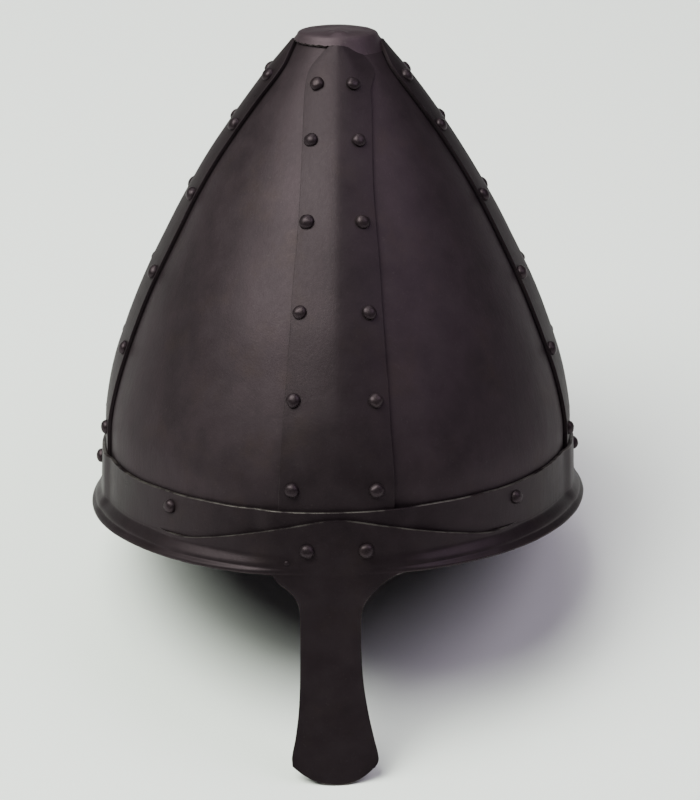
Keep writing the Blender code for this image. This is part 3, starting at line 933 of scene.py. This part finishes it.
def add_dome(bm, matrix, radius, height, seed):
    """A hand-headed dome, spun and then made a little uneven."""
    start = set(bm.verts)
    section = [bm.verts.new((row.radius * radius, 0, row.height * height)) for row in RIVET_ROWS]
    section.insert(0, bm.verts.new((radius * 0.98, 0, -DOME_SUNK)))
    section.insert(0, bm.verts.new((0, 0, -DOME_SUNK)))
    edges = [bm.edges.new(pair) for pair in zip(section, section[1:])]
    bmesh.ops.spin(bm, geom=section + edges, axis=(0, 0, 1), cent=(0, 0, 0), angle=2 * math.pi,
                   steps=DOME_STEPS, use_merge=True)
    fresh = [vertex for vertex in bm.verts if vertex not in start]
    bmesh.ops.remove_doubles(bm, verts=fresh, dist=1e-6)
    fresh = [vertex for vertex in bm.verts if vertex not in start]
    for vertex in fresh:
        uneven = noise.noise(vertex.co / 0.0024 + Vector((seed * 3.7, seed * 1.9, 0)))
        vertex.co.x *= 1 + DOME_UNEVEN * uneven
        vertex.co.y *= 1 + DOME_UNEVEN * uneven
        vertex.co.z += DOME_SWELL * uneven * (vertex.co.z > 0)
    bmesh.ops.transform(bm, matrix=matrix, verts=fresh)


def add_rivets(name, seats, depth, nodes):
    """Heads outside, and the hammered ends of the same rivets inside."""
    bm = bmesh.new()
    for number, matrix in enumerate(seats, 1):
        size = 1 + 0.07 * noise.noise(Vector((number * 2.3, len(name) * 1.7, 0.4)))
        add_dome(bm, matrix, RIVET_RADIUS * size, RIVET_HEAD * size, number + len(name))
        inside = matrix @ Matrix.Translation((0, 0, -depth)) @ Matrix.Rotation(math.pi, 4, "X")
        radius, height = RIVET_RADIUS * INSIDE_RADIUS, RIVET_HEAD * INSIDE_HEIGHT
        add_dome(bm, inside, radius, height, number + 40 + len(name))
    bmesh.ops.recalc_face_normals(bm, faces=bm.faces)
    add_piece(name, bm, finish_of("rivets"), nodes)


class HELMET_OT_rivets(bpy.types.Operator):
    """Domed rivets of the bands, the brow band and the nose guard's root"""

    bl_idname = "helmet.rivets"
    bl_label = "Rivets"

    def execute(self, context):
        for name in BAND_AZIMUTHS:
            nodes = [f"{name}_band_rivet_{number:02d}" for number in range(1, 13)]
            depth = 2 * SHEET + 2 * PRESSED + 0.0004
            add_rivets(f"{name}_band_rivets", band_seats(name), depth, [] if name == "back" else nodes)
        nodes = [f"brow_rivet_{number:02d}" for number in range(1, 9)]
        add_rivets("brow_rivets", brow_seats(), 3 * SHEET + 3 * PRESSED, nodes)
        nodes = [f"nasal_rivet_{number:02d}" for number in range(1, 3)]
        add_rivets("nasal_rivets", nasal_seats(), 3 * SHEET + 3 * PRESSED, nodes)
        return {"FINISHED"}


class HELMET_OT_beads(bpy.types.Operator):
    """Beads of weld on the crown and hammer burrs at the front band's foot"""

    bl_idname = "helmet.beads"
    bl_label = "Weld beads"

    def execute(self, context):
        surfaces = {
            "crown": lambda azimuth, height, out: skull(azimuth, height, SHEET + PRESSED + out),
            "band": lambda azimuth, height, out: skull(azimuth, height, SHEET + out),
            "rim": rim_point,
        }
        bm = bmesh.new()
        for number, row in enumerate(BEAD_ROWS):
            matrix = seat(surfaces[row.surface], math.radians(row.azimuth), row.height)
            start = set(bm.verts)
            bmesh.ops.create_icosphere(bm, subdivisions=3, radius=1.0)
            fresh = [vertex for vertex in bm.verts if vertex not in start]
            for vertex in fresh:
                uneven = 1 + 0.35 * noise.noise(vertex.co * 1.6 + Vector((number * 5.1, 0, 0)))
                vertex.co = Vector((vertex.co.x * 1.3, vertex.co.y, vertex.co.z * 0.45)) * row.size * uneven
            bmesh.ops.transform(bm, matrix=matrix, verts=fresh)
        add_piece("weld_beads", bm, finish_of("bands"), [])
        return {"FINISHED"}


def add_area_light(name, azimuth, elevation, power, colour):
    """A round soft light that looks at the helmet's middle, from degrees off the front and over the floor."""
    lamp = bpy.data.lights.new(name, "AREA")
    lamp.shape = "DISK"
    lamp.size = LIGHT_WIDTH
    lamp.energy = power
    lamp.color = colour
    light = bpy.data.objects.new(name, lamp)
    bpy.context.scene.collection.objects.link(light)
    around, up = math.radians(azimuth), math.radians(elevation)
    towards = Vector((math.sin(around) * math.cos(up), -math.cos(around) * math.cos(up), math.sin(up)))
    light.location = Vector((0, 0, 0.1)) + towards * LIGHT_DISTANCE
    light.rotation_euler = towards.to_track_quat("Z", "Y").to_euler()


def add_floor(colour):
    """The pale floor that the helmet rests on."""
    bm = bmesh.new()
    bmesh.ops.create_grid(bm, x_segments=2, y_segments=2, size=FLOOR_HALF)
    mesh = bpy.data.meshes.new("floor")
    bm.to_mesh(mesh)
    bm.free()
    floor = bpy.data.objects.new("floor", mesh)
    bpy.context.scene.collection.objects.link(floor)
    finish = Finish("pale_floor", colour)
    place = finish.add("ShaderNodeTexCoord", {}, {}, out="Object")
    tone = finish.noise(place, 3.0, 2.0).between(0.2, 0.8)
    finish.set({"Base Color": finish.mix(tone, Vector(colour) * 0.985, Vector(colour)), "Roughness": 0.85})
    floor.data.materials.append(finish.material)


def add_camera(stage):
    """The camera stands where the photograph was taken from, in front of the helmet and a little over it."""
    towards = Vector((math.sin(stage.azimuth) * math.cos(stage.elevation),
                      -math.cos(stage.azimuth) * math.cos(stage.elevation), math.sin(stage.elevation)))
    right = Vector((math.cos(stage.azimuth), math.sin(stage.azimuth), 0))
    up = towards.cross(right)
    brow = Vector((0, 0, BROW_PLANE))
    eye = brow + towards * stage.distance
    back = (eye - brow - right * stage.aim_right - up * stage.aim_up).normalized()
    right = up.cross(back).normalized()
    axes = Matrix((right, back.cross(right), back)).transposed().to_4x4()
    data = bpy.data.cameras.new("camera")
    data.lens = stage.lens
    data.sensor_fit = "VERTICAL"
    data.sensor_height = 36.0
    camera = bpy.data.objects.new("camera", data)
    bpy.context.scene.collection.objects.link(camera)
    camera.matrix_world = STANCE @ Matrix.Translation(eye) @ axes
    bpy.context.scene.camera = camera


class HELMET_OT_stage(bpy.types.Operator):
    """Pale floor, soft studio lights and the camera"""

    bl_idname = "helmet.stage"
    bl_label = "Studio"

    def execute(self, context):
        stage = context.scene.helmet_stage
        add_floor(stage.floor_colour)
        add_area_light("key_light", -84, 55, stage.key_power, WARM)
        add_area_light("high_light", -60, 70, stage.high_power, WARM)
        add_area_light("back_light", 178, 58, stage.back_power, PLAIN)
        add_area_light("fill_light", 82, 48, stage.fill_power, COOL)
        world = bpy.data.worlds.new("room")
        world.use_nodes = True
        background = world.node_tree.nodes["Background"]
        background.inputs["Color"].default_value = (0.95, 0.95, 1.0, 1)
        background.inputs["Strength"].default_value = stage.world_strength
        context.scene.world = world
        add_camera(stage)
        return {"FINISHED"}


class HELMET_PT_panel(bpy.types.Panel):
    """Sizes, colours and steps of the helmet"""

    bl_idname = "HELMET_PT_panel"
    bl_label = "Iron helmet"
    bl_space_type = "VIEW_3D"
    bl_region_type = "UI"
    bl_category = "Helmet"

    def draw(self, context):
        for operator in OPERATORS:
            self.layout.operator(operator.bl_idname)
        for name in GROUPS:
            group = getattr(context.scene, name)
            box = self.layout.box()
            for key in group.__annotations__:
                box.prop(group, key)


GROUPS = {"helmet_form": HelmetForm, "helmet_finish": HelmetFinish, "helmet_stage": HelmetStage}
OPERATORS = (
    HELMET_OT_plates,
    HELMET_OT_bands,
    HELMET_OT_brow_band,
    HELMET_OT_rim,
    HELMET_OT_crown,
    HELMET_OT_rivets,
    HELMET_OT_beads,
    HELMET_OT_stage,
)


def register():
    for group in GROUPS.values():
        bpy.utils.register_class(group)
    for operator in OPERATORS:
        bpy.utils.register_class(operator)
    bpy.utils.register_class(HELMET_PT_panel)
    for name, group in GROUPS.items():
        setattr(bpy.types.Scene, name, PointerProperty(type=group))


def unregister():
    for name in GROUPS:
        delattr(bpy.types.Scene, name)
    bpy.utils.unregister_class(HELMET_PT_panel)
    for operator in reversed(OPERATORS):
        bpy.utils.unregister_class(operator)
    for group in reversed(GROUPS.values()):
        bpy.utils.unregister_class(group)


def main():
    register()
    for operator in OPERATORS:
        group, step = operator.bl_idname.split(".")
        getattr(getattr(bpy.ops, group), step)()


if __name__ == "__main__":
    main()
